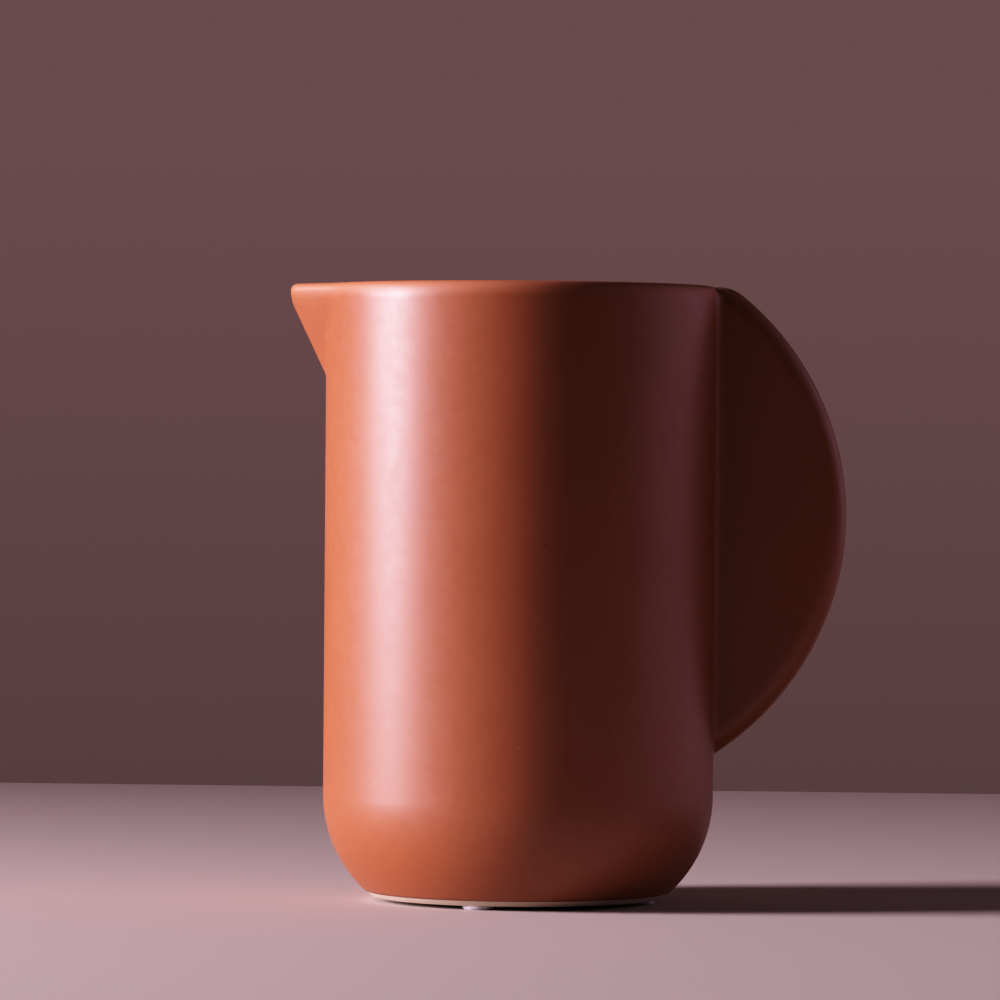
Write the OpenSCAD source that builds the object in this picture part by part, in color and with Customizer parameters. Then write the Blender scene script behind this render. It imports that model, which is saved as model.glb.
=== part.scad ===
// Stoneware pitcher: a straight-sided vessel with a rounded lower corner, a beak spout let into the
// rim, a half-moon fin for a handle, a bare clay foot ring and four stick-on bumpers under it.
// Millimetres. +Z is up, the vessel's axis is Z, and z = 0 is the table that the bumpers stand on.
// The handle points to +X and the spout to -X.

/* [Vessel] */
// Outer radius of the vessel wall
body_r = 57; // [52:0.5:62]
// Height of the rim above the table
rim_z = 180; // [178:0.5:184]
// Thickness of the vessel wall
wall_t = 4.5; // [4:0.1:5.5]
// Thickness of the vessel floor
floor_t = 5; // [4:0.1:7]
// Radius of the rounded lower corner, outside
corner_r = 38; // [37.5:0.5:39]
// Height at which the lower corner starts to turn in
corner_z = 31; // [30:0.5:32]
// Radius of the rounding on each edge of the lip
lip_r = 2; // [1.2:0.1:2.2]
// Radius of the blend between floor and wall, inside
floor_blend_r = 12; // [8:0.5:14]

/* [Foot ring] */
// Height of the bare clay ring
foot_h = 1.6; // [1.2:0.1:2.4]
// Inner radius of the ring
foot_inner_r = 31.5; // [30:0.5:32]
// How far the bare clay is set back from the edge of the glaze
glaze_step = 0.4; // [0.2:0.1:0.6]
// Rounding of the ring's lower edges
foot_edge_r = 0.5; // [0.3:0.1:0.7]

/* [Spout] */
// Height above the table at which the keel of the beak leaves the wall
spout_z = 153.3; // [150:0.1:156]
// How far the keel leans out for each unit of height
spout_lean = 0.475; // [0.4:0.005:0.5]
// Angle between each flank and the beak's middle plane, in degrees
spout_angle = 52; // [48:1:55]
// Radius of the nose, seen from above, if the keel ran straight up to the rim
spout_nose_r = 6.5; // [6:0.25:8]
// Radius in which the keel turns upright below the lip
spout_upright_r = 10; // [8:0.5:13]
// Rounding of the beak's outer edge at the rim
spout_lip_r = 2.4; // [2:0.1:2.6]
// Thickness of the beak at the foot of its keel
spout_t = 4.2; // [3.6:0.1:4.8]
// Thickness of the beak's nose at the rim
spout_tip_t = 5; // [4.5:0.1:5.5]

/* [Handle] */
// Radius of the half-moon's edge
handle_r = 82.8; // [81:0.2:84]
// Distance of the half-moon's centre from the vessel's axis
handle_x = 12.5; // [11:0.5:14]
// Height of the half-moon's centre above the table
handle_z = 113.1; // [112.5:0.1:113.5]
// Thickness of the fin
handle_t = 14; // [12.5:0.5:16]
// Rounding of the fin's edges
handle_edge_r = 6; // [4:0.25:6]
// Radius of the corner between the fin's level top and its round edge
handle_corner_r = 12; // [10:0.5:18]
// How far the top of the fin lies under the rim
handle_drop = 0.1; // [0.1:0.1:0.5]
// Radius of the slip fillet between the fin's faces and the wall
seam_r = 2.8; // [1.8:0.1:3.2]
// Radius of the slip fillet under the fin's lower end
seam_end_r = 1; // [0.6:0.1:1.8]

/* [Bumpers] */
// Diameter of a bumper
bumper_d = 9.4; // [8:0.1:9.6]
// Distance of the bumpers from the vessel's axis
bumper_orbit = 37; // [36.8:0.1:37.2]
// Height of a bumper without its adhesive
bumper_h = 1.05; // [1:0.05:1.6]
// Width of the rounding on a bumper's lower edge
bumper_edge_r = 1; // [0.6:0.1:1.4]
// Height of that rounding
bumper_edge_h = 0.85; // [0.6:0.05:0.95]
// Thickness of the adhesive film
adhesive_t = 0.15; // [0.1:0.01:0.2]
// How far the adhesive film stops inside the bumper's edge
adhesive_inset = 0.2; // [0.1:0.1:0.5]
// Turn of the four bumpers about the axis, in degrees, from the spout and handle line
bumper_turn = 17.5; // [0:0.5:45]

/* [Hidden] */
$fn = 96;

glaze_color = "#b4623e";
clay_color = "#d8bfa6";
bumper_color = "#e8ecf2";
adhesive_color = "#f2f0e6";

// Vessel and foot ring
inner_r = body_r - wall_t;
ring_z = bumper_h + adhesive_t;            // underside of the foot ring
seat_z = ring_z + foot_h;                  // underside of the vessel, where the glaze stops
corner_x = body_r - corner_r;              // centre of the lower corner's arc
floor_z = seat_z + floor_t;
inner_corner_r = corner_r - wall_t;
blend_z = floor_z + floor_blend_r;         // centre of the blend inside
blend_x = corner_x + sqrt((inner_corner_r - floor_blend_r)^2 - (corner_z - blend_z)^2);
blend_angle = -asin((corner_z - blend_z) / (inner_corner_r - floor_blend_r));

// Spout: a cone from a point inside the wall, whose nose turns upright under a rounded lip
apex_drop = 16;                            // how far the cone's point lies below spout_z
apex_z = spout_z - apex_drop;
apex_x = -body_r + spout_lean * apex_drop;
lean_angle = atan(spout_lean);
upright_z = rim_z - spout_lip_r;           // where the nose stands upright
upright_x = -body_r - spout_lean * (upright_z - spout_upright_r * sin(lean_angle) - spout_z)
    - spout_upright_r * (1 - cos(lean_angle));
channel_nose_r = 2;                        // rounding of the channel's keel
channel_tip_x = upright_x + spout_tip_t;   // nose of the channel at the rim
channel_keel_x = -body_r + spout_t / cos(lean_angle);
channel_lean = (channel_keel_x - channel_tip_x) / (rim_z - spout_z);

// Handle
fin_half = handle_t / 2;
fin_flat = fin_half - handle_edge_r;       // half of the flat between the rounded edges
fin_top = rim_z - handle_drop;
fin_corner_z = fin_top - handle_corner_r;
fin_corner_x = handle_x + sqrt((handle_r - handle_corner_r)^2 - (fin_corner_z - handle_z)^2);
fin_corner_angle = atan2(fin_corner_z - handle_z, fin_corner_x - handle_x);

past = 4;                                  // how far a cutter runs past what it cuts
skin = 0.01;                               // thickness of one layer in a hull
flat_turn = 30;                            // turn in which the seam crosses the flat of the fin's edge

// Segments in an arc
nose_steps = 12;
corner_steps = 16;
edge_steps = 8;
small_steps = 6;
upright_steps = 4;
fillet_steps = 4;                          // across the slip fillet
seam_steps = 12;                           // rings round each half of the seam's lower end
bumper_steps = 9;
bumper_sides = 48;

// Points along an arc, angles in degrees.
function arc(x, y, r, from, to, steps) =
    [for (i = [0:steps]) let (a = from + (to - from) * i / steps) [x + r * cos(a), y + r * sin(a)]];

// Radius of the lower corner's arc about the vessel's axis at a height.
function corner_at(z) = corner_x + sqrt(corner_r^2 - (corner_z - z)^2);

// Outer outline of the vessel from its underside to the top of the lip.
outer_line = concat(
    [[0, seat_z]],
    arc(corner_x, corner_z, corner_r, -asin((corner_z - seat_z) / corner_r), 0, corner_steps),
    arc(body_r - lip_r, rim_z - lip_r, lip_r, 0, 90, edge_steps)
);

// Inner outline from the top of the lip to the middle of the floor.
inner_line = concat(
    arc(inner_r + lip_r, rim_z - lip_r, lip_r, 90, 180, edge_steps),
    arc(corner_x, corner_z, inner_corner_r, 0, blend_angle, edge_steps),
    arc(blend_x, blend_z, floor_blend_r, blend_angle, -90, edge_steps),
    [[0, floor_z]]
);

// The room that the vessel takes up, with its inside filled.
module vessel_envelope() {
    rotate_extrude() polygon(concat(outer_line, [[0, rim_z]]));
}

// Thrown vessel with the notch that the spout is let into.
module vessel() {
    color(glaze_color)
        difference() {
            rotate_extrude() polygon(concat(outer_line, inner_line));
            beak_outer();
        }
}

// Bare clay ring that the vessel stands on.
module foot_ring() {
    low_r = corner_at(ring_z) - glaze_step;
    low_z = ring_z + foot_edge_r;
    side_angle = 360 - asin((corner_z - ring_z) / corner_r);
    color(clay_color)
        rotate_extrude()
            polygon(concat(
                [[foot_inner_r, seat_z]],
                arc(foot_inner_r + foot_edge_r, low_z, foot_edge_r, 180, 270, small_steps),
                arc(low_r - foot_edge_r, low_z, foot_edge_r, 270, side_angle, small_steps),
                [[corner_at(seat_z) - glaze_step, seat_z]]
            ));
}

// Where the two flanks would meet, for a nose at nose_x with radius nose_r.
function flank_tip(nose_x, nose_r) = nose_x - nose_r * (1 / sin(spout_angle) - 1);

// Beak seen from above: two flanks that start at x = back, and a round nose.
function beak_outline(nose_x, nose_r, back) =
    let (half = (back - flank_tip(nose_x, nose_r)) * tan(spout_angle))
    concat(
        [[back, half]],
        arc(nose_x + nose_r, 0, nose_r, 90 + spout_angle, 270 - spout_angle, nose_steps),
        [[back, -half]]
    );

// Keel of the beak from where it starts to turn upright to the top of its lip, as [x, z].
keel_line = concat(
    arc(upright_x + spout_upright_r, upright_z, spout_upright_r, 180 + lean_angle, 180, upright_steps),
    arc(upright_x + spout_lip_r, upright_z, spout_lip_r, 180, 90, small_steps)
);

// Nose radius at a point of the keel: the cone's own, less what the keel is set back from the cone.
function nose_at(x, z) =
    spout_nose_r * (z - apex_z) / (rim_z - apex_z) - (x + body_r + spout_lean * (z - spout_z));

// Layer of the beak at one height, with its back on the plane of the cone's point.
module beak_layer(x, z, nose_r) {
    translate([0, 0, z - skin])
        linear_extrude(skin)
            polygon(beak_outline(x, nose_r, apex_x));
}

// Outside of the beak, filled.
module beak_outer() {
    hull() {
        translate([apex_x, 0, apex_z]) cube(skin, center = true);
        for (p = keel_line)
            beak_layer(p[0], p[1], nose_at(p[0], p[1]));
    }
}

// Channel of the beak, from below the foot of its keel to above the rim.
module beak_channel() {
    hull() {
        translate([channel_keel_x + channel_lean * apex_drop, 0, apex_z]) cube(skin, center = true);
        beak_layer(channel_tip_x, rim_z, channel_nose_r);
        beak_layer(channel_tip_x - channel_lean * past, rim_z + past, channel_nose_r);
    }
}

// Beak spout, a shell that fills the notch in the rim.
module spout() {
    color(glaze_color)
        difference() {
            beak_outer();
            beak_channel();
            cylinder(r = inner_r, h = rim_z + past);
        }
}

// Solid through a row of rings of points, closed at both ends.
module loft(rings) {
    sides = len(rings[0]);
    last = len(rings) - 1;
    faces = concat(
        [[for (j = [0:sides - 1]) j]],
        [for (i = [0:last - 1], j = [0:sides - 1])
            let (a = i * sides + j, b = i * sides + (j + 1) % sides)
            [a, a + sides, b + sides, b]],
        [[for (j = [sides - 1:-1:0]) last * sides + j]]
    );
    polyhedron(points = [for (ring = rings, p = ring) p], faces = faces);
}

// Section of a slip fillet: a ball of radius r at centre rests on two surfaces, which lie in the
// directions to_a and to_b and meet at root.
function fillet_section(centre, r, to_a, to_b, root) = concat(
    [for (i = [0:fillet_steps])
        let (s = i / fillet_steps, d = to_a * (1 - s) + to_b * s)
        centre + d / norm(d) * r],
    [root]
);

// Disc of the fin's thickness and rounded edge, standing in the plane y = 0.
module fin_disc(x, z, r) {
    translate([x, 0, z])
        rotate([90, 0, 0])
            rotate_extrude()
                polygon(concat(
                    [[0, -fin_half]],
                    arc(r - handle_edge_r, -fin_flat, handle_edge_r, -90, 0, edge_steps),
                    arc(r - handle_edge_r, fin_flat, handle_edge_r, 0, 90, edge_steps),
                    [[0, fin_half]]
                ));
}

// Half-moon fin before it is fitted to the vessel: round edge, rounded corner and level top.
module fin() {
    far = 2 * handle_r;
    hull() {
        intersection() {
            fin_disc(handle_x, handle_z, handle_r);
            translate([handle_x, 0, handle_z])
                rotate([0, -fin_corner_angle, 0])
                    translate([-far, -far, -far])
                        cube([2 * far, 2 * far, far]);
        }
        fin_disc(fin_corner_x, fin_corner_z, handle_corner_r);
        fin_disc(handle_x, fin_corner_z, handle_corner_r);
    }
}

// Half-moon handle, butted to the outside of the vessel.
module handle() {
    color(glaze_color)
        difference() {
            fin();
            vessel_envelope();
        }
}

// Point that lies off from both the wall and the fin's lower end.
// edge is the angle round the fin's edge: -90 front face, 0 the edge itself, 90 back face.
function seam_point(edge, off) =
    let (
        r = handle_edge_r + off,
        y = sign(edge) * fin_flat * min(1, abs(edge) / flat_turn) + r * sin(edge),
        x = sqrt((body_r + off)^2 - y^2),
        reach = handle_r - handle_edge_r + r * cos(edge)
    )
    [x, y, handle_z - sqrt(reach^2 - (x - handle_x)^2)];

// Section of the handle's slip fillet, moved up by rise; it is slimmer round the fin's edge.
function handle_seam_section(edge, rise = 0) =
    let (
        r = seam_end_r + (seam_r - seam_end_r) * sin(edge)^2,
        up = [0, 0, rise],
        centre = seam_point(edge, r),
        out = [centre[0] - handle_x, 0, centre[2] - handle_z]
    )
    fillet_section(
        centre + up,
        r,
        -[centre[0], centre[1], 0] / (body_r + r),
        -(out / norm(out) * cos(edge) + [0, sin(edge), 0]),
        seam_point(edge, 0) + up
    );

// Fillet of slip where the fin is luted to the wall: down the front, round the lower end, up the back.
module handle_seam() {
    rise = rim_z - lip_r - seam_point(90, seam_r)[2];
    color(glaze_color)
        loft(concat(
            [handle_seam_section(-90, rise)],
            [for (i = [0:2 * seam_steps]) handle_seam_section(90 * i / seam_steps - 90)],
            [handle_seam_section(90, rise)]
        ));
}

// Moves its children to the place of bumper number i, from 1 to 4.
module at_bumper(i) {
    rotate([0, 0, 90 * i + 180 - bumper_turn])
        translate([bumper_orbit, 0, 0])
            children();
}

// Flattened clear bumper; its round side faces the table.
module bumper(i) {
    r = bumper_d / 2;
    color(bumper_color)
        at_bumper(i)
            rotate_extrude($fn = bumper_sides)
                polygon(concat(
                    [[0, 0]],
                    [for (j = [0:bumper_steps])
                        let (a = 90 * j / bumper_steps)
                        [r - bumper_edge_r * (1 - sin(a)), bumper_edge_h * (1 - cos(a))]],
                    [[r, bumper_h]],
                    [[0, bumper_h]]
                ));
}

// Film of adhesive between a bumper and the foot ring.
module bumper_adhesive(i) {
    color(adhesive_color)
        at_bumper(i)
            translate([0, 0, bumper_h])
                cylinder(r = bumper_d / 2 - adhesive_inset, h = adhesive_t, $fn = bumper_sides);
}

vessel();
foot_ring();
spout();
handle();
handle_seam();
for (i = [1:4]) {
    bumper(i);
    bumper_adhesive(i);
}
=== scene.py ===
"""Looks of the stoneware pitcher: satin terracotta glaze over a vessel, beak spout and half-moon fin,
a bare clay foot ring, and clear stick-on bumpers on their adhesive. Metres, in the CAD frame."""

from math import acos, asin, atan, atan2, cos, degrees, pi, radians, sin, sqrt

import bmesh
import bpy
import numpy as np
from mathutils import Matrix, Vector


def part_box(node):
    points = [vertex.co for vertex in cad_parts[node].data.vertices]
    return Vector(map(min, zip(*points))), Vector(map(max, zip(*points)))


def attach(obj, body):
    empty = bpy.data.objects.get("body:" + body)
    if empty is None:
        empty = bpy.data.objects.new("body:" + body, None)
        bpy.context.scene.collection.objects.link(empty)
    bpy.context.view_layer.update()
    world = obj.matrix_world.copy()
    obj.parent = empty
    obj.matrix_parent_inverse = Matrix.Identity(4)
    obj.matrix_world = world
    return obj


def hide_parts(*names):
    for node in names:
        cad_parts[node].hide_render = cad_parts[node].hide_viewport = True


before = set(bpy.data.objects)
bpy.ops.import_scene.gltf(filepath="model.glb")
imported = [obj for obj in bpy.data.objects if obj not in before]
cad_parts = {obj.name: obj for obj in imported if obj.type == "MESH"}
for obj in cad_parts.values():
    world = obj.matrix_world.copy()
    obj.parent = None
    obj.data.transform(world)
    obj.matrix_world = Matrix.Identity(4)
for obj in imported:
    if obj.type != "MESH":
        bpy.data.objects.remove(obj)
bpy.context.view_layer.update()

# ---------------------------------------------------------------------------------------------
# Sizes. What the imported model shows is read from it; the rest is stated here.
# ---------------------------------------------------------------------------------------------
MM = 0.001
vessel_low, vessel_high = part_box("vessel")
spout_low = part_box("spout")[0]
fin_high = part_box("handle")[1]
ring_low, ring_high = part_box("foot_ring")

BODY_R = vessel_high.x
RIM_Z = vessel_high.z
SEAT_Z = vessel_low.z                    # where the glaze stops
WALL_T = 4.5 * MM
FLOOR_T = 5 * MM
INNER_R = BODY_R - WALL_T
LIP_R = 2 * MM
LIP_REACH = 5 * MM                       # height over which the lip's outer side rounds off
CORNER_R = 38 * MM                       # rounded lower corner, outside
CORNER_Z = 31 * MM
CORNER_X = BODY_R - CORNER_R
FLOOR_BLEND_R = 12 * MM
GLAZE_EDGE_R = 1.2 * MM                  # rounded edge where the glaze stops

SPOUT_Z = 153.3 * MM                     # foot of the keel
SPOUT_LEAN = 0.475                       # how far the keel leans out for each unit of height
SPOUT_ANGLE = radians(52)                # between a flank and the middle plane
SPOUT_NOSE_R = 6.5 * MM                  # seen from above at the rim, if the keel ran straight up to it
SPOUT_FLANK_LEAN = 0.5                   # share of their lean that the flanks keep under the rim
SPOUT_APEX_DROP = 16 * MM                # from the keel's foot down to the point of the beak's cone
NO_BEAK_Z = SPOUT_Z - SPOUT_APEX_DROP / 2     # below this the wall is plain
SPOUT_REACH = -spout_low.x               # how far the nose stands from the axis
KEEL_CREASE = 0.5 * MM                   # softness of the crease between beak and wall, at its foot
RIM_CREASE = 2.0 * MM                    # the same under the rim
CHANNEL_CREASE = 1.5 * MM                # the same inside, all the way up
CHANNEL_NOSE_R = 2.5 * MM                # rounding of the channel's keel
CHANNEL_WALL = 4.4 * MM                  # thickness of the beak, measured along its middle plane

FIN_HALF = fin_high.y
FIN_TOP = fin_high.z
FIN_X = 12.5 * MM                        # centre of the half-moon
FIN_Z = 113.1 * MM
FIN_R = fin_high.x - FIN_X
FIN_EDGE_R = 6 * MM                      # rounding of the edge, all round
FIN_FLAT = FIN_HALF - FIN_EDGE_R         # half the width that stays flat along the edge
FIN_CORNER_R = 12 * MM                   # upper outer corner of the outline
FIN_ROOT_X = BODY_R - LIP_R              # the fin ends inside the wall, under the crown of the lip

RING_INNER_R = 31.5 * MM
RING_EDGE_R = 0.5 * MM
BUMPER_EDGE_R = 1.0 * MM                 # how far in the rounded side of a bumper reaches
FILM_EDGE = 0.03 * MM                    # chamfer round an adhesive film
RING_SEGMENTS = 256                      # of the mesh, round the foot ring
BUMPER_SEGMENTS = 72                     # the same round a bumper or its film


# ---------------------------------------------------------------------------------------------
# Helpers
# ---------------------------------------------------------------------------------------------
def arc(x, y, r, start, end, steps):
    """Points along an arc, angles in degrees."""
    turns = [radians(start + (end - start) * i / steps) for i in range(steps + 1)]
    return [(x + r * cos(a), y + r * sin(a)) for a in turns]


def eased(steps):
    """Fractions from 0 to 1 that crowd together at both ends."""
    return [(1 - cos(pi * i / steps)) / 2 for i in range(steps + 1)]


def soft_max(a, b, width):
    """The larger of two values, blended smoothly where they differ by less than width."""
    share = np.clip(0.5 + 0.5 * (a - b) / width, 0, 1)
    return b + (a - b) * share + width * share * (1 - share)


def without_repeats(corners):
    """A face's corners without those that repeat the one before."""
    return [corner for i, corner in enumerate(corners) if corner != corners[i - 1]]


def skin_faces(rows):
    """Faces between neighbouring rows of point numbers."""
    faces = []
    for low, high in zip(rows, rows[1:]):
        for i in range(len(low) - 1):
            loop = without_repeats([low[i], low[i + 1], high[i + 1], high[i]])
            if len(loop) > 2:
                faces.append(loop)
    return faces


def new_piece(name, points, faces, sharp_angle=35):
    """Closed mesh object with smooth shading, and sharp edges where faces meet at more than sharp_angle."""
    mesh = bpy.data.meshes.new(name)
    mesh.from_pydata([tuple(p) for p in points], [], faces)
    work = bmesh.new()
    work.from_mesh(mesh)
    bmesh.ops.recalc_face_normals(work, faces=work.faces)
    work.to_mesh(mesh)
    work.free()
    mesh.shade_smooth()
    mesh.set_sharp_from_angle(angle=radians(sharp_angle))
    piece = bpy.data.objects.new(name, mesh)
    bpy.context.scene.collection.objects.link(piece)
    return piece


def revolved(name, profile, segments, at=(0, 0)):
    """Solid turned from a closed profile of (radius, height) points; points at radius 0 are shared."""
    points, rings = [], []
    for r, z in profile:
        count = 1 if r == 0 else segments
        rings.append([len(points) + i % count for i in range(segments + 1)])
        for i in range(count):
            a = 2 * pi * i / segments
            points.append((at[0] + r * cos(a), at[1] + r * sin(a), z))
    return new_piece(name, points, skin_faces(rings + rings[:1]), sharp_angle=60)


# ---------------------------------------------------------------------------------------------
# Vessel and spout: one skin, given by its distance from the axis at each azimuth and height.
# Azimuth 0 is the spout's direction. The spout is cut from the skin along its crease.
# ---------------------------------------------------------------------------------------------
LEAN_ANGLE = atan(SPOUT_LEAN)
SHOULDER_Z = RIM_Z - LIP_R
KEEL_SET_BACK = BODY_R + SPOUT_LEAN * (SHOULDER_Z - SPOUT_Z) - SPOUT_REACH
UPRIGHT_R = KEEL_SET_BACK / (1 / cos(LEAN_ANGLE) - 1)      # turns the leaning keel upright under the rim
STRAIGHT_Z = SHOULDER_Z - UPRIGHT_R * sin(LEAN_ANGLE)


def keel_outside(z):
    """How far the beak's keel stands from the axis: leaning out, then turning upright."""
    straight = BODY_R + SPOUT_LEAN * (z - SPOUT_Z)
    turn = np.clip((SHOULDER_Z - z) / UPRIGHT_R, 0, sin(LEAN_ANGLE))
    upright = SPOUT_REACH - UPRIGHT_R * (1 - np.sqrt(1 - turn**2))
    return np.where(z < STRAIGHT_Z, straight, upright)


def nose_outside(z):
    """Radius of the nose seen from above: a cone's, and fuller where the keel turns upright, which keeps
    the flanks leaning."""
    apex_z = SPOUT_Z - SPOUT_APEX_DROP
    cone = SPOUT_NOSE_R * (z - apex_z) / (RIM_Z - apex_z)
    set_back = BODY_R + SPOUT_LEAN * (z - SPOUT_Z) - keel_outside(z)
    tip = 1 / sin(SPOUT_ANGLE)
    return cone + set_back * (1 - tip * (1 - SPOUT_FLANK_LEAN)) / (tip - 1)


def keel_inside(z):
    """The channel's keel leaves the inner wall at the foot of the outer keel."""
    foot = INNER_R
    lean = (SPOUT_REACH - CHANNEL_WALL - foot) / (SHOULDER_Z - SPOUT_Z)
    return foot + lean * (z - SPOUT_Z)


def beak_radius(azimuth, keel, nose_r):
    """Distance from the axis to a beak with a round nose and two straight flanks."""
    turn = np.minimum(np.abs(azimuth), pi / 2 - SPOUT_ANGLE)
    tip = keel + nose_r * (1 / sin(SPOUT_ANGLE) - 1)
    flank = tip * sin(SPOUT_ANGLE) / np.sin(turn + SPOUT_ANGLE)
    centre = keel - nose_r
    meets = np.arctan2(nose_r * cos(SPOUT_ANGLE), centre + nose_r * sin(SPOUT_ANGLE))
    nose = centre * np.cos(turn) + np.sqrt(np.maximum(nose_r**2 - (centre * np.sin(turn)) ** 2, 0))
    return np.where(turn < meets, nose, flank)


def crease_at(z):
    """Width of the blend between beak and wall."""
    share = np.clip((z - SPOUT_Z) / (SHOULDER_Z - SPOUT_Z), 0, 1)
    return KEEL_CREASE + (RIM_CREASE - KEEL_CREASE) * share


def outer_skin(azimuth, z):
    if z < NO_BEAK_Z:
        return np.full_like(azimuth, BODY_R)
    beak = beak_radius(azimuth, keel_outside(z), nose_outside(z))
    return soft_max(beak, BODY_R, crease_at(z))


def inner_skin(azimuth, z):
    if z < NO_BEAK_Z:
        return np.full_like(azimuth, INNER_R)
    return soft_max(beak_radius(azimuth, keel_inside(z), CHANNEL_NOSE_R), INNER_R, CHANNEL_CREASE)


def spout_half_width(z):
    """Azimuth of the cut between spout and vessel, just past the end of the crease's blend."""
    tip = float(keel_outside(z) + nose_outside(z) * (1 / sin(SPOUT_ANGLE) - 1))
    reach = tip * sin(SPOUT_ANGLE) / (BODY_R - crease_at(z))
    return max(asin(min(reach, 1)) - SPOUT_ANGLE, 0)


def find_cut_foot():
    """Height at which the two cuts meet below the keel."""
    low, high = NO_BEAK_Z, SPOUT_Z
    for _ in range(40):                  # halvings, far finer than needed
        middle = (low + high) / 2
        low, high = (low, middle) if spout_half_width(middle) > 0 else (middle, high)
    return low


CUT_FOOT = find_cut_foot()
UPPER_ROWS = 44                          # rows of the mesh from there to the shoulder of the lip
LIP_STEPS = 10
WALL_STEPS = 24                          # the same for the plain wall below, outside and inside


def upper_rows():
    """Rows of the skin above the cut's foot, up the outside, over the lip and down the inside.
    Each row is (skin, height at which it is evaluated, inset, height)."""
    heights = [CUT_FOOT + (SHOULDER_Z - CUT_FOOT) * i / UPPER_ROWS for i in range(UPPER_ROWS + 1)]
    outside = [(outer_skin, z, 0, z) for z in heights]
    inside = [(inner_skin, z, 0, z) for z in reversed(heights)]
    over = arc(0, SHOULDER_Z, LIP_R, 0, 90, LIP_STEPS)
    lip_out = [(outer_skin, SHOULDER_Z, x - LIP_R, z) for x, z in over[1:]]
    lip_in = [(inner_skin, SHOULDER_Z, LIP_R - x, z) for x, z in reversed(over[1:])]
    return outside + lip_out + lip_in + inside


def lip_softness(azimuth, z):
    """How much longer than a plain round lip the outer side rounds off. It fades out at the nose of the
    beak and at the fin, which meet a plain round lip."""
    def inset(height):
        rise = np.clip((z - RIM_Z) / height + 1, 0, 1)
        return LIP_R * (1 - np.sqrt(1 - rise**2))
    return (inset(LIP_REACH) - inset(LIP_R)) * (1 - np.cos(azimuth) ** 4)


def row_points(row, azimuths):
    """Points along a row of the skin."""
    skin, z_at, inset, z = row
    r = skin(azimuths, z_at) + inset
    if skin is outer_skin:
        r = r - lip_softness(azimuths, z)
    return np.column_stack([-r * np.cos(azimuths), -r * np.sin(azimuths), np.full_like(r, z)])


def lower_outside():
    """Profile from the middle of the underside to the cut's foot, as (radius, height)."""
    edge_steps, corner_steps = 8, 56
    edge_z = SEAT_Z + GLAZE_EDGE_R
    edge_x = CORNER_X + sqrt((CORNER_R - GLAZE_EDGE_R) ** 2 - (CORNER_Z - edge_z) ** 2)
    seat_angle = degrees(atan2(CORNER_Z - edge_z, edge_x - CORNER_X))
    edge = arc(edge_x, edge_z, GLAZE_EDGE_R, -90, -seat_angle, edge_steps)
    turned = arc(CORNER_X, CORNER_Z, CORNER_R, -seat_angle, 0, corner_steps)[1:]
    underside = [(edge_x * share, SEAT_Z) for share in (0, 0.35, 0.7, 0.96)]
    rise = CUT_FOOT - CORNER_Z
    wall = [(BODY_R, CORNER_Z + rise * i / WALL_STEPS) for i in range(1, WALL_STEPS)]
    return underside + edge + turned + wall


def lower_inside():
    """Profile from the cut's foot down to the middle of the floor, as (radius, height)."""
    corner_steps, blend_steps = 24, 24
    inner_corner_r = CORNER_R - WALL_T
    floor_z = SEAT_Z + FLOOR_T
    blend_z = floor_z + FLOOR_BLEND_R
    reach = inner_corner_r - FLOOR_BLEND_R
    blend_x = CORNER_X + sqrt(reach**2 - (CORNER_Z - blend_z) ** 2)
    blend_angle = -degrees(asin((CORNER_Z - blend_z) / reach))
    drop = CUT_FOOT - CORNER_Z
    wall = [(INNER_R, CUT_FOOT - drop * i / WALL_STEPS) for i in range(1, WALL_STEPS)]
    turned = arc(CORNER_X, CORNER_Z, inner_corner_r, 0, blend_angle, corner_steps)
    blended = arc(blend_x, blend_z, FLOOR_BLEND_R, blend_angle, -90, blend_steps)
    floor = [(blended[-1][0] * share, floor_z) for share in (0.8, 0.5, 0.2, 0)]
    return wall + turned + blended[1:] + floor


def cut_faces(rows, column):
    """Faces across the wall's thickness, between the outside and the inside of an open column."""
    edge = [row[column] for row in rows]
    half = len(edge) // 2
    faces = []
    for i in range(half):
        loop = without_repeats([edge[i], edge[i + 1], edge[-i - 2], edge[-i - 1]])
        if len(set(loop)) > 2:
            faces.append(loop)
    return faces


def make_vessel():
    """Everything but the beak: outside, lip and inside in one closed skin, open along the spout's cut,
    where its two edges are walled off. Its columns crowd somewhat towards the cut."""
    columns, crowding = 300, 0.55
    shares = np.array(eased(columns)) * crowding + np.linspace(0, 1, columns + 1) * (1 - crowding)
    points, rows = [], []

    def add_row(coordinates, closed):
        start = len(points)
        count = len(coordinates)
        points.extend(coordinates)
        rows.append([start + i % count if closed else start + i for i in range(columns + 1)])

    def add_ring(r, z):
        if r == 0:
            add_row([(0, 0, z)], True)
        else:
            turns = 2 * pi * shares[:-1]
            ring = np.column_stack([-r * np.cos(turns), -r * np.sin(turns), np.full_like(turns, z)])
            add_row(ring, True)

    for r, z in lower_outside():
        add_ring(r, z)
    first_open = len(rows)
    upper = upper_rows()
    for row in upper:
        half = spout_half_width(row[1])
        azimuths = half + (2 * pi - 2 * half) * shares
        closed = half == 0
        add_row(row_points(row, azimuths[:-1] if closed else azimuths), closed)
    last_open = len(rows)
    for r, z in lower_inside():
        add_ring(r, z)
    faces = skin_faces(rows)
    for column in (0, columns):
        faces += cut_faces(rows[first_open:last_open], column)
    return new_piece("glazed_vessel", points, faces)


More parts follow.
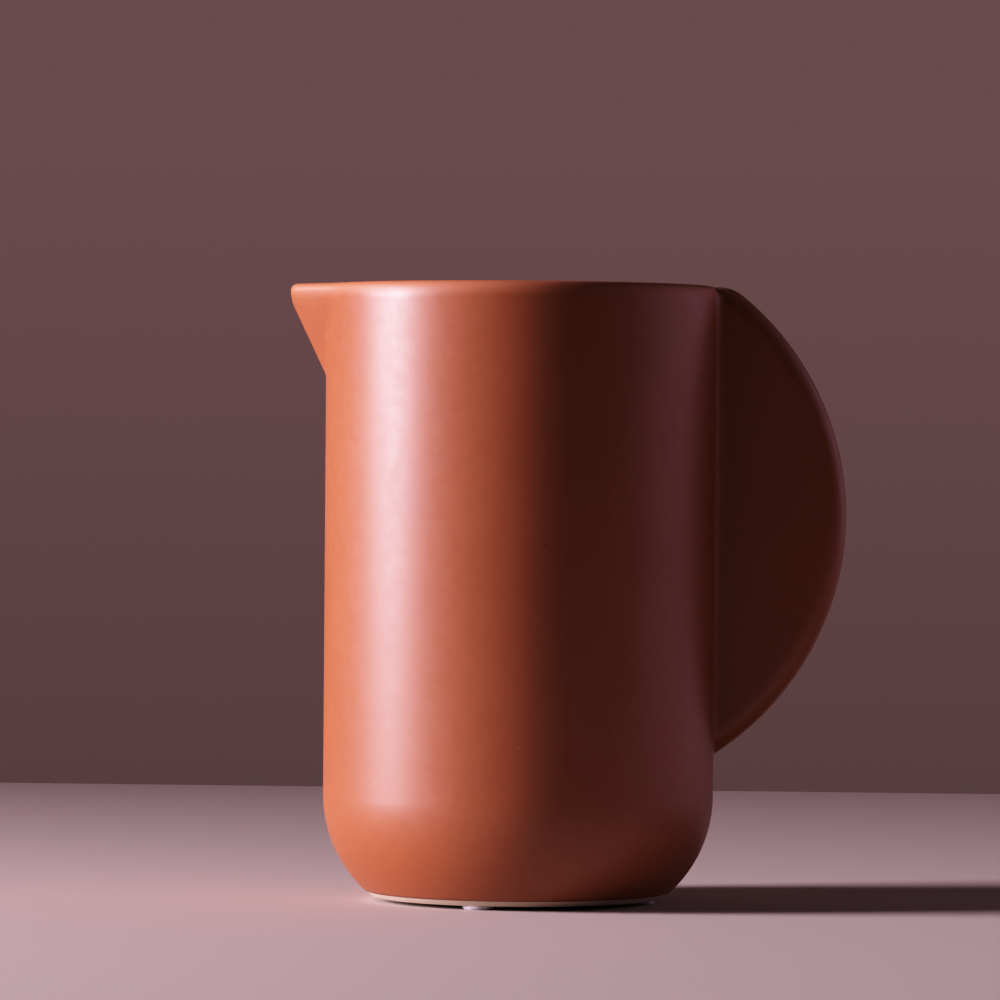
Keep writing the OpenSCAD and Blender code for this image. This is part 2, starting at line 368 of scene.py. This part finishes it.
def make_spout():
    """The beak, cut out along the vessel's own edge."""
    columns = 96
    shares = np.array(eased(columns)) * 2 - 1
    points, rows = [], []
    for row in upper_rows():
        half = spout_half_width(row[1])
        start = len(points)
        if half == 0:
            points.extend(row_points(row, np.zeros(1)))
            rows.append([start] * (columns + 1))
        else:
            points.extend(row_points(row, half * shares))
            rows.append([start + i for i in range(columns + 1)])
    faces = skin_faces(rows)
    for column in (0, columns):
        faces += cut_faces(rows, column)
    return new_piece("glazed_spout", points, faces)


# ---------------------------------------------------------------------------------------------
# Handle and its slip fillet
# ---------------------------------------------------------------------------------------------
FIN_CORNER_Z = FIN_TOP - FIN_CORNER_R
FIN_CORNER_X = FIN_X + sqrt((FIN_R - FIN_CORNER_R) ** 2 - (FIN_CORNER_Z - FIN_Z) ** 2)
FIN_CORNER_TURN = degrees(atan2(FIN_CORNER_Z - FIN_Z, FIN_CORNER_X - FIN_X))


def fin_outline(inset):
    """Outline of the half-moon, set in from its edge, from the lower root round to the upper root, as
    (x, z)."""
    side_steps, corner_steps, top_steps = 160, 20, 4
    r = FIN_R - inset
    root_turn = -degrees(acos((FIN_ROOT_X - FIN_X) / r))
    outline = arc(FIN_X, FIN_Z, r, root_turn, FIN_CORNER_TURN, side_steps)
    outline += arc(FIN_CORNER_X, FIN_CORNER_Z, FIN_CORNER_R - inset, FIN_CORNER_TURN, 90, corner_steps)[1:]
    top_z = outline[-1][1]
    top_x = [FIN_CORNER_X + (FIN_ROOT_X - FIN_CORNER_X) * i / top_steps for i in range(1, top_steps + 1)]
    return outline + [(x, top_z) for x in top_x]


def fin_edge():
    """Section of the fin's edge from the front face round to the back face, as (inset, y)."""
    steps = 14
    front = arc(FIN_EDGE_R, -FIN_FLAT, FIN_EDGE_R, 270, 180, steps)
    back = arc(FIN_EDGE_R, FIN_FLAT, FIN_EDGE_R, 180, 90, steps)
    support = 0.4 * MM                   # one more row on each face, so that it shades flat
    return [(FIN_EDGE_R + support, -FIN_HALF)] + front + back + [(FIN_EDGE_R + support, FIN_HALF)]


def make_fin():
    """The half-moon: its rounded edge, its two faces, and the end inside the wall."""
    points, rows = [], []
    for inset, y in fin_edge():
        start = len(points)
        points += [(x, y, z) for x, z in fin_outline(inset)]
        rows.append(list(range(start, len(points))))
    faces = skin_faces(rows)
    faces += [rows[0], rows[-1][::-1]]
    faces.append([row[0] for row in rows] + [row[-1] for row in reversed(rows)])
    return new_piece("glazed_fin", points, faces)


def wall_reach(off, z):
    """Distance from the axis of a ball of radius off that rests on the wall or its lip at height z."""
    if z <= SHOULDER_Z:
        return BODY_R + off
    return BODY_R - LIP_R + sqrt((LIP_R + off) ** 2 - (z - SHOULDER_Z) ** 2)


def across_edge(side, r):
    """How far to the side a ball rolling round the fin's edge is: over the edge's flat middle first, then
    round its rounding. side runs from -1 on the front face to 1 on the back face."""
    return FIN_FLAT * np.clip(side * 3, -1, 1) + r * side


def lower_seam(turn, off):
    """Ball centre round the fin's lower end; turn runs from 0 on the back face to 180 on the front."""
    r = FIN_EDGE_R + off
    side = cos(radians(turn))
    y = across_edge(side, r)
    x = sqrt((BODY_R + off) ** 2 - y**2)
    reach = FIN_R - FIN_EDGE_R + r * sin(radians(turn))
    z = FIN_Z - sqrt(reach**2 - (x - FIN_X) ** 2)
    out = Vector((x - FIN_X, 0, z - FIN_Z)).normalized() * sin(radians(turn)) + Vector((0, side, 0))
    return Vector((x, y, z)), -out


def upper_seam(turn, off):
    """Ball centre over the fin's top; turn runs from 0 on the front face to 180 on the back."""
    r = FIN_EDGE_R + off
    side = -cos(radians(turn))
    y = across_edge(side, r)
    z = FIN_TOP - FIN_EDGE_R + r * sin(radians(turn))
    x = sqrt(wall_reach(off, z) ** 2 - y**2)
    return Vector((x, y, z)), -Vector((0, side, sin(radians(turn))))


def make_seam():
    """Concave fillet right round the fin's root: full along the faces, fuller near the rim, and slim
    under the lower end and over the top. A ball that rolls along the wall and the fin shapes it."""
    low_r, foot_r, head_r, top_r = 1.0 * MM, 2.7 * MM, 4.1 * MM, 1.6 * MM
    sink = 0.4 * MM                      # how far its back lies inside the wall and the fin
    end_steps, side_steps, across_steps = 48, 40, 12
    low_z, high_z = lower_seam(0, foot_r)[0].z, FIN_TOP - FIN_EDGE_R

    def side_r(z):
        return foot_r + (head_r - foot_r) * (z - low_z) / (high_z - low_z)

    def side_stations(turn):
        """Down the back face for turn 1 and up the front face for turn -1."""
        for i in range(1, side_steps):
            share = i / side_steps if turn < 0 else 1 - i / side_steps
            z = low_z + (high_z - low_z) * share
            r = side_r(z)
            y = turn * (FIN_HALF + r)
            yield Vector((sqrt((BODY_R + r) ** 2 - y**2), y, z)), Vector((0, -turn, 0)), r

    def end_stations(seam, face_r, middle_r):
        """Round an end of the fin, from one face to the other."""
        for i in range(end_steps + 1):
            turn = 180 * i / end_steps
            r = face_r + (middle_r - face_r) * sin(radians(turn)) ** 2
            yield *seam(turn, r), r

    points, rows = [], []
    for centre, to_fin, r in (*end_stations(lower_seam, foot_r, low_r), *side_stations(-1),
                              *end_stations(upper_seam, head_r, top_r), *side_stations(1)):
        lift = max(centre.z - SHOULDER_Z, 0)
        flat = Vector((centre.x, centre.y, 0))
        rest = flat.normalized() * (BODY_R - LIP_R) if lift else flat.normalized() * BODY_R
        rest.z = SHOULDER_Z if lift else centre.z
        to_wall = (rest - centre).normalized()
        start = len(points)
        for share in eased(across_steps):
            points.append(centre + to_wall.lerp(to_fin, share).normalized() * r)
        points.append(points[-1] + to_fin * sink)
        points.append(centre + (to_wall + to_fin) * (r + sink) / (1 + to_wall.dot(to_fin)))
        points.append(points[start] + to_wall * sink)
        rows.append(list(range(start, len(points))) + [start])
    faces = skin_faces(rows + rows[:1])
    return new_piece("slip_fillet", points, faces)


# ---------------------------------------------------------------------------------------------
# Foot ring, bumpers and adhesive
# ---------------------------------------------------------------------------------------------
def corner_at(z):
    """Radius of the vessel's lower corner at a height."""
    return CORNER_X + sqrt(CORNER_R**2 - (CORNER_Z - z) ** 2)


def make_foot_ring():
    """Bare clay ring, its outer side following the vessel's curve inwards."""
    steps = 6                            # round an edge, and across the underside
    low_z, high_z = ring_low.z, ring_high.z
    step = corner_at(high_z) - ring_high.x
    low_r = corner_at(low_z) - step
    lean = degrees(asin((CORNER_Z - low_z) / CORNER_R))
    profile = [(RING_INNER_R, high_z)]
    profile += arc(RING_INNER_R + RING_EDGE_R, low_z + RING_EDGE_R, RING_EDGE_R, 180, 270, steps)
    profile += [(RING_INNER_R + (low_r - RING_INNER_R) * i / steps, low_z) for i in range(1, steps)]
    profile += arc(low_r - RING_EDGE_R, low_z + RING_EDGE_R, RING_EDGE_R, 270, 360 - lean, steps)
    for share in (0.2, 0.4, 0.6, 0.8, 1):
        z = low_z + RING_EDGE_R + (high_z - low_z - RING_EDGE_R) * share
        profile.append((corner_at(z) - step, z))
    return revolved("clay_foot_ring", profile, RING_SEGMENTS)


def make_bumper(number):
    """Flattened dome of clear silicone, round side down, with a slight crown where it meets the ring."""
    low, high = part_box(f"bumper_{number}")
    middle = (low + high) / 2
    r = (high.x - low.x) / 2
    top = high.z                         # its low side is in the plane z = 0
    round_top, crown = 0.85 * top, 0.06 * MM
    steps = 12                           # up the rounded side
    profile = [(0, 0), (r * 0.4, 0), (r - BUMPER_EDGE_R, 0)]
    for i in range(1, steps + 1):
        a = radians(90 * i / steps)
        profile.append((r - BUMPER_EDGE_R + BUMPER_EDGE_R * sin(a), round_top * (1 - cos(a))))
    profile += [(r, top * 0.95), (r - crown, top), (r * 0.5, top), (0, top)]
    return revolved(f"bumper_pad_{number}", profile, BUMPER_SEGMENTS, (middle.x, middle.y))


def make_adhesive(number):
    """Thin film between a bumper and the foot ring."""
    low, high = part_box(f"bumper_adhesive_{number}")
    middle = (low + high) / 2
    r = (high.x - low.x) / 2
    profile = [(0, low.z), (r * 0.6, low.z), (r - FILM_EDGE, low.z), (r, low.z + FILM_EDGE)]
    profile += [(r, high.z - FILM_EDGE), (r - FILM_EDGE, high.z), (r * 0.6, high.z), (0, high.z)]
    return revolved(f"adhesive_film_{number}", profile, BUMPER_SEGMENTS, (middle.x, middle.y))


# ---------------------------------------------------------------------------------------------
# Materials
# ---------------------------------------------------------------------------------------------
class Nodes:
    """A material's node tree, with short calls to add and join nodes. A scale is per metre."""

    def __init__(self, name):
        self.material = bpy.data.materials.new(name)
        self.material.use_nodes = True
        self.tree = self.material.node_tree
        self.shader = self.tree.nodes["Principled BSDF"]
        self.place = self.add("ShaderNodeTexCoord").outputs["Object"]

    def add(self, kind, **settings):
        node = self.tree.nodes.new(kind)
        for key, value in settings.items():
            setattr(node, key, value)
        return node

    def join(self, source, target):
        self.tree.links.new(source, target)

    def noise(self, scale, detail=2, roughness=0.5):
        node = self.add("ShaderNodeTexNoise")
        node.inputs["Scale"].default_value = scale
        node.inputs["Detail"].default_value = detail
        node.inputs["Roughness"].default_value = roughness
        self.join(self.place, node.inputs["Vector"])
        return node.outputs["Fac"]

    def clouds(self, scale, detail=2, roughness=0.5, to_low=0.0, to_high=1.0):
        """Noise spread over the whole of a range. Plain noise is mostly between 0.3 and 0.7."""
        return self.ramp(self.noise(scale, detail, roughness), 0.3, 0.7, to_low, to_high)

    def split(self, axis):
        """Place along one axis."""
        node = self.add("ShaderNodeSeparateXYZ")
        self.join(self.place, node.inputs["Vector"])
        return node.outputs[axis]

    def spots(self, scale, size, share):
        """1 inside small round spots, in a share of the cells of a jittered grid, and 0 elsewhere."""
        cells = self.add("ShaderNodeTexVoronoi")
        cells.inputs["Scale"].default_value = scale
        self.join(self.place, cells.inputs["Vector"])
        spot = self.ramp(cells.outputs["Distance"], size, 0.6 * size)
        tone = self.add("ShaderNodeSeparateColor")
        self.join(cells.outputs["Color"], tone.inputs["Color"])
        chosen = self.ramp(tone.outputs["Red"], share + 0.01, share)
        return self.math("MULTIPLY", spot, chosen)

    def ramp(self, source, low, high, to_low=0.0, to_high=1.0):
        """Value that goes from to_low to to_high while the source goes from low to high, clamped."""
        node = self.add("ShaderNodeMapRange")
        node.inputs["From Min"].default_value = low
        node.inputs["From Max"].default_value = high
        node.inputs["To Min"].default_value = to_low
        node.inputs["To Max"].default_value = to_high
        self.join(source, node.inputs["Value"])
        return node.outputs["Result"]

    def math(self, operation, a, b):
        """Result of an operation on two values, each a number or a node's output."""
        node = self.add("ShaderNodeMath", operation=operation)
        for value, socket in ((a, node.inputs[0]), (b, node.inputs[1])):
            if isinstance(value, (int, float)):
                socket.default_value = value
            else:
                self.join(value, socket)
        return node.outputs["Value"]

    def mix(self, share, a, b):
        """Colour a where share is 0 and b where it is 1, each a colour or a node's output."""
        node = self.add("ShaderNodeMix", data_type="RGBA")
        self.join(share, node.inputs["Factor"])
        for value, socket in ((a, node.inputs["A"]), (b, node.inputs["B"])):
            if isinstance(value, tuple):
                socket.default_value = (*value, 1)
            else:
                self.join(value, socket)
        return node.outputs["Result"]

    def bump(self, height, distance, under=None):
        """Bump of a height in metres, on top of another one if given."""
        node = self.add("ShaderNodeBump")
        node.inputs["Distance"].default_value = distance
        self.join(height, node.inputs["Height"])
        if under:
            self.join(under, node.inputs["Normal"])
        return node.outputs["Normal"]


def make_glaze():
    """Satin terracotta glaze: clouds, mottling and specks, over a faint ripple and orange peel. Painted
    shade darkens its lower edge and the fin's root beside the lip, and painted light brightens the lip.
    """
    deep, warm, mottle = (0.298, 0.094, 0.034), (0.326, 0.108, 0.041), (0.273, 0.083, 0.029)
    pale_speck, dark_speck = (0.44, 0.22, 0.13), (0.11, 0.031, 0.014)
    thick_glaze_and_painted_shade, thin_glaze_and_painted_light, fin_root_painted_shade_color = (0.146, 0.030, 0.011), (0.50, 0.19, 0.088), (0.11, 0.036, 0.016)
    n = Nodes("satin_terracotta_glaze")
    color = n.mix(n.clouds(28, 3, 0.55), deep, warm)
    mottled = n.ramp(n.noise(420, 3, 0.6), 0.35, 0.65, 0, 0.3)
    color = n.mix(mottled, color, mottle)
    pale = n.spots(105, 0.045, 0.16)
    color = n.mix(n.math("MULTIPLY", pale, 0.55), color, pale_speck)
    dark = n.spots(140, 0.06, 0.14)
    color = n.mix(n.math("MULTIPLY", dark, 0.6), color, dark_speck)
    # painted shade darkens the glaze's lower edge, where it also runs thick, and painted light brightens the
    # lip, where it also runs thin
    height = n.split("Z")
    wavy = n.math("ADD", height, n.clouds(160, to_high=0.2 * MM))
    # painted shade along the rolled lower edge of the glaze, which is also thicker there
    thick = n.ramp(wavy, SEAT_Z + 0.8 * MM, SEAT_Z + 0.3 * MM)
    color = n.mix(n.math("MULTIPLY", thick, 0.75), color, thick_glaze_and_painted_shade)
    # painted light: paler over the lip's upper band, where the glaze is also thinner
    thin_lip_and_painted_light = n.ramp(height, RIM_Z - 4.5 * MM, RIM_Z - 1 * MM, 0, 0.55)
    color = n.mix(thin_lip_and_painted_light, color, thin_glaze_and_painted_light)
    # painted shade darkens the fin's root beside the lip, where light falls over the rim
    along = n.split("X")
    fin_root_painted_shade = n.math("MULTIPLY", n.ramp(along, FIN_ROOT_X + 1 * MM, FIN_ROOT_X + 2.5 * MM),
                  n.ramp(along, FIN_ROOT_X + 14 * MM, FIN_ROOT_X + 8 * MM))
    fin_root_painted_shade = n.math("MULTIPLY", fin_root_painted_shade, n.ramp(height, RIM_Z - 2.2 * MM, RIM_Z - 1.2 * MM, 0, 0.8))
    color = n.mix(fin_root_painted_shade, color, fin_root_painted_shade_color)
    n.join(color, n.shader.inputs["Base Color"])
    # and where it is thin it is drier, so less glossy
    rough = n.clouds(260, to_low=0.41, to_high=0.46)
    drier = n.ramp(height, RIM_Z - 4 * MM, RIM_Z - 1.5 * MM, 0, 0.13)
    n.join(n.math("ADD", rough, drier), n.shader.inputs["Roughness"])
    ripple = n.bump(n.noise(95, 1, 0.4), 0.03 * MM)
    peel = n.bump(n.noise(650), 0.01 * MM, under=ripple)
    n.join(n.bump(n.math("SUBTRACT", pale, dark), 0.03 * MM, under=peel), n.shader.inputs["Normal"])
    n.shader.inputs["IOR"].default_value = 1.56
    return n.material


def make_clay():
    """Bare stoneware with dark grog."""
    buff, cream, dark_grog = (0.56, 0.48, 0.36), (0.61, 0.53, 0.40), (0.26, 0.18, 0.12)
    n = Nodes("bare_stoneware")
    color = n.mix(n.clouds(60, 4, 0.6), buff, cream)
    grog = n.spots(900, 0.22, 0.3)
    color = n.mix(n.math("MULTIPLY", grog, 0.4), color, dark_grog)
    n.join(color, n.shader.inputs["Base Color"])
    n.shader.inputs["Roughness"].default_value = 0.85
    n.join(n.bump(n.noise(1800, 3, 0.6), 0.05 * MM), n.shader.inputs["Normal"])
    return n.material


def make_silicone():
    """Clear silicone, slightly frosted, that scatters light inside."""
    bluish, clear = (0.90, 0.94, 1.0), (0.96, 0.98, 1.0)
    n = Nodes("clear_silicone")
    n.join(n.mix(n.clouds(700), bluish, clear), n.shader.inputs["Base Color"])
    n.join(n.clouds(1500, to_low=0.22, to_high=0.34), n.shader.inputs["Roughness"])
    n.shader.inputs["IOR"].default_value = 1.41
    n.shader.inputs["Transmission Weight"].default_value = 0.15
    n.shader.inputs["Subsurface Weight"].default_value = 0.7
    n.shader.inputs["Subsurface Radius"].default_value = (1, 1, 1)
    n.shader.inputs["Subsurface Scale"].default_value = 4 * MM
    n.join(n.bump(n.noise(900), 0.01 * MM), n.shader.inputs["Normal"])
    return n.material


def make_film():
    """Pale adhesive film."""
    dull, pale = (0.74, 0.71, 0.64), (0.82, 0.80, 0.74)
    n = Nodes("adhesive_film")
    n.join(n.mix(n.clouds(800, 3), dull, pale), n.shader.inputs["Base Color"])
    n.shader.inputs["Roughness"].default_value = 0.5
    n.join(n.bump(n.noise(1500), 0.01 * MM), n.shader.inputs["Normal"])
    return n.material


# ---------------------------------------------------------------------------------------------
# The pieces, each with its material and the CAD nodes it stands for
# ---------------------------------------------------------------------------------------------
def dress(piece, material, slot, *nodes):
    """Finish a piece, and let it stand for its CAD nodes."""
    piece.data.materials.append(material)
    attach(piece, "root")
    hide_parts(*nodes)


glaze = make_glaze()
silicone = make_silicone()
film = make_film()
dress(make_vessel(), glaze, "glaze", "vessel")
dress(make_spout(), glaze, "glaze", "spout")
dress(make_fin(), glaze, "glaze", "handle")
dress(make_seam(), glaze, "glaze", "handle_seam")
dress(make_foot_ring(), make_clay(), "bare_clay", "foot_ring")
for number in range(1, 5):
    dress(make_bumper(number), silicone, "silicone", f"bumper_{number}")
    dress(make_adhesive(number), film, "adhesive", f"bumper_adhesive_{number}")


# ---------------------------------------------------------------------------------------------
# Stage, light and camera
# ---------------------------------------------------------------------------------------------
def make_floor():
    """Square pale table top with rounded corners, with painted shade that makes it darker at its far side
    and to the left. It is turned slightly, so that its far edge comes nearer towards the right."""
    half, corner_r, thick, turn = 0.60, 0.12, 0.03, radians(-4)
    far_y, side_x = 0.64, 0.3            # where the colour stops changing
    reach = half - corner_r
    outline = []
    for start, x, y in ((0, reach, reach), (90, -reach, reach), (180, -reach, -reach), (270, reach, -reach)):
        outline += arc(x, y, corner_r, start, start + 90, 16)
    points = [(x * cos(turn) - y * sin(turn), x * sin(turn) + y * cos(turn), z)
              for z in (0, -thick) for x, y in outline]
    count = len(outline)
    faces = [list(range(count)), list(range(count, 2 * count))]
    faces += [[i, (i + 1) % count, count + (i + 1) % count, count + i] for i in range(count)]
    floor = new_piece("floor", points, faces)
    # painted shade: the far and the left colours are darker, standing in for the light's falloff over the
    # table
    near_left, far_left_painted_shade = (0.523, 0.465, 0.406), (0.237, 0.191, 0.166)
    near_right, far_right_painted_shade = (0.590, 0.525, 0.459), (0.336, 0.271, 0.236)
    n = Nodes("pale_floor_painted_shade")
    far = n.ramp(n.split("Y"), 0.0, far_y)
    left = n.mix(far, near_left, far_left_painted_shade)
    right = n.mix(far, near_right, far_right_painted_shade)
    n.join(n.mix(n.ramp(n.split("X"), -side_x, side_x), left, right), n.shader.inputs["Base Color"])
    n.shader.inputs["Roughness"].default_value = 0.9
    n.shader.inputs["Specular IOR Level"].default_value = 0.1
    floor.data.materials.append(n.material)


def soft_box(name, azimuth, height, distance, size, power, color):
    """Upright rectangular light that faces the pitcher's axis. Azimuth is from the camera's side, + to
    the right."""
    light = bpy.data.lights.new(name, "AREA")
    light.shape = "RECTANGLE"
    light.size, light.size_y = size
    light.energy = power
    light.color = color
    lamp = bpy.data.objects.new(name, light)
    a = radians(azimuth)
    lamp.location = (distance * sin(a), -distance * cos(a), height)
    lamp.rotation_euler = (pi / 2, 0, a)
    bpy.context.scene.collection.objects.link(lamp)


def down_light():
    """Narrow light straight down into the mouth, which shows the inside to a view from above."""
    size, height, power = 0.06, 0.6, 0.06
    light = bpy.data.lights.new("down", "AREA")
    light.shape = "DISK"
    light.size = size
    light.spread = radians(6)
    light.energy = power
    light.color = (1.0, 0.85, 0.85)
    lamp = bpy.data.objects.new("down", light)
    lamp.location = (0, 0, height)
    lamp.visible_camera = False
    lamp.visible_glossy = False
    bpy.context.scene.collection.objects.link(lamp)


def make_world():
    """Mauve backdrop, a little darker towards the table. The room's own light is mauve from behind the
    pitcher and nearly dark from the camera's side, and it is not seen."""
    world = bpy.data.worlds.new("studio")
    world.use_nodes = True
    tree = world.node_tree
    place = tree.nodes.new("ShaderNodeTexCoord")
    split = tree.nodes.new("ShaderNodeSeparateXYZ")
    tree.links.new(place.outputs["Generated"], split.inputs["Vector"])

    def blend(axis, start, end, a, b):
        """Colour a up to start along an axis of the view direction, and b from end on."""
        share = tree.nodes.new("ShaderNodeMapRange")
        share.inputs["From Min"].default_value = start
        share.inputs["From Max"].default_value = end
        mix = tree.nodes.new("ShaderNodeMix")
        mix.data_type = "RGBA"
        mix.inputs["A"].default_value = (*a, 1)
        mix.inputs["B"].default_value = (*b, 1)
        tree.links.new(split.outputs[axis], share.inputs["Value"])
        tree.links.new(share.outputs["Result"], mix.inputs["Factor"])
        return mix.outputs["Result"]

    seen = tree.nodes["Background"]
    room = tree.nodes.new("ShaderNodeBackground")
    low_mauve, high_mauve = (0.121, 0.073, 0.074), (0.167, 0.096, 0.100)
    dark_side, mauve_side = (0.016, 0.016, 0.018), (0.10, 0.060, 0.064)
    tree.links.new(blend("Z", -0.055, 0.045, low_mauve, high_mauve), seen.inputs["Color"])
    tree.links.new(blend("Y", -0.3, 0.4, dark_side, mauve_side), room.inputs["Color"])
    rays = tree.nodes.new("ShaderNodeLightPath")
    either = tree.nodes.new("ShaderNodeMixShader")
    tree.links.new(rays.outputs["Is Camera Ray"], either.inputs["Fac"])
    tree.links.new(room.outputs["Background"], either.inputs[1])
    tree.links.new(seen.outputs["Background"], either.inputs[2])
    tree.links.new(either.outputs["Shader"], tree.nodes["World Output"].inputs["Surface"])
    bpy.context.scene.world = world


def make_camera():
    """Long lens, a little below the rim, square to the plane of spout and handle."""
    lens = 224                           # millimetres
    distance, height = 1.82, 0.132
    aim = Vector((-0.0059, 0, 0.1172))
    roll = 0.0075                        # radians
    data = bpy.data.cameras.new("camera")
    data.lens = lens
    data.clip_end = 50
    camera = bpy.data.objects.new("camera", data)
    camera.location = (0, -distance, height)
    look = (aim - camera.location).to_track_quat("-Z", "Y").to_matrix().to_4x4()
    camera.rotation_euler = (look @ Matrix.Rotation(roll, 4, "Z")).to_euler()
    bpy.context.scene.collection.objects.link(camera)
    bpy.context.scene.camera = camera


def set_tone():
    """Print-like contrast: deeper shadows, and a soft shoulder for the highlights."""
    white = 1.5
    settings = bpy.context.scene.view_settings
    settings.view_transform = "Standard"
    settings.use_curve_mapping = True
    mapping = settings.curve_mapping
    mapping.white_level = (white, white, white)
    mapping.extend = "HORIZONTAL"
    curve = mapping.curves[3]            # the one for all three colours together
    curve.points[1].location = (1, 0.98)
    for light, print_light in ((0.03, 0.015), (0.06, 0.036), (0.105, 0.078), (0.175, 0.152),
                               (0.33, 0.325), (0.6, 0.6), (0.86, 0.79), (1.1, 0.89)):
        curve.points.new(light / white, print_light)
    mapping.update()


make_floor()
make_world()
soft_box("key", azimuth=-80.5, height=0.62, distance=2.0, size=(0.54, 0.85), power=120,
         color=(1.0, 0.80, 1.0))
soft_box("fill", azimuth=106, height=0.5, distance=1.6, size=(1.8, 1.2), power=4.8,
         color=(0.96, 0.66, 0.93))
down_light()
make_camera()
set_tone()
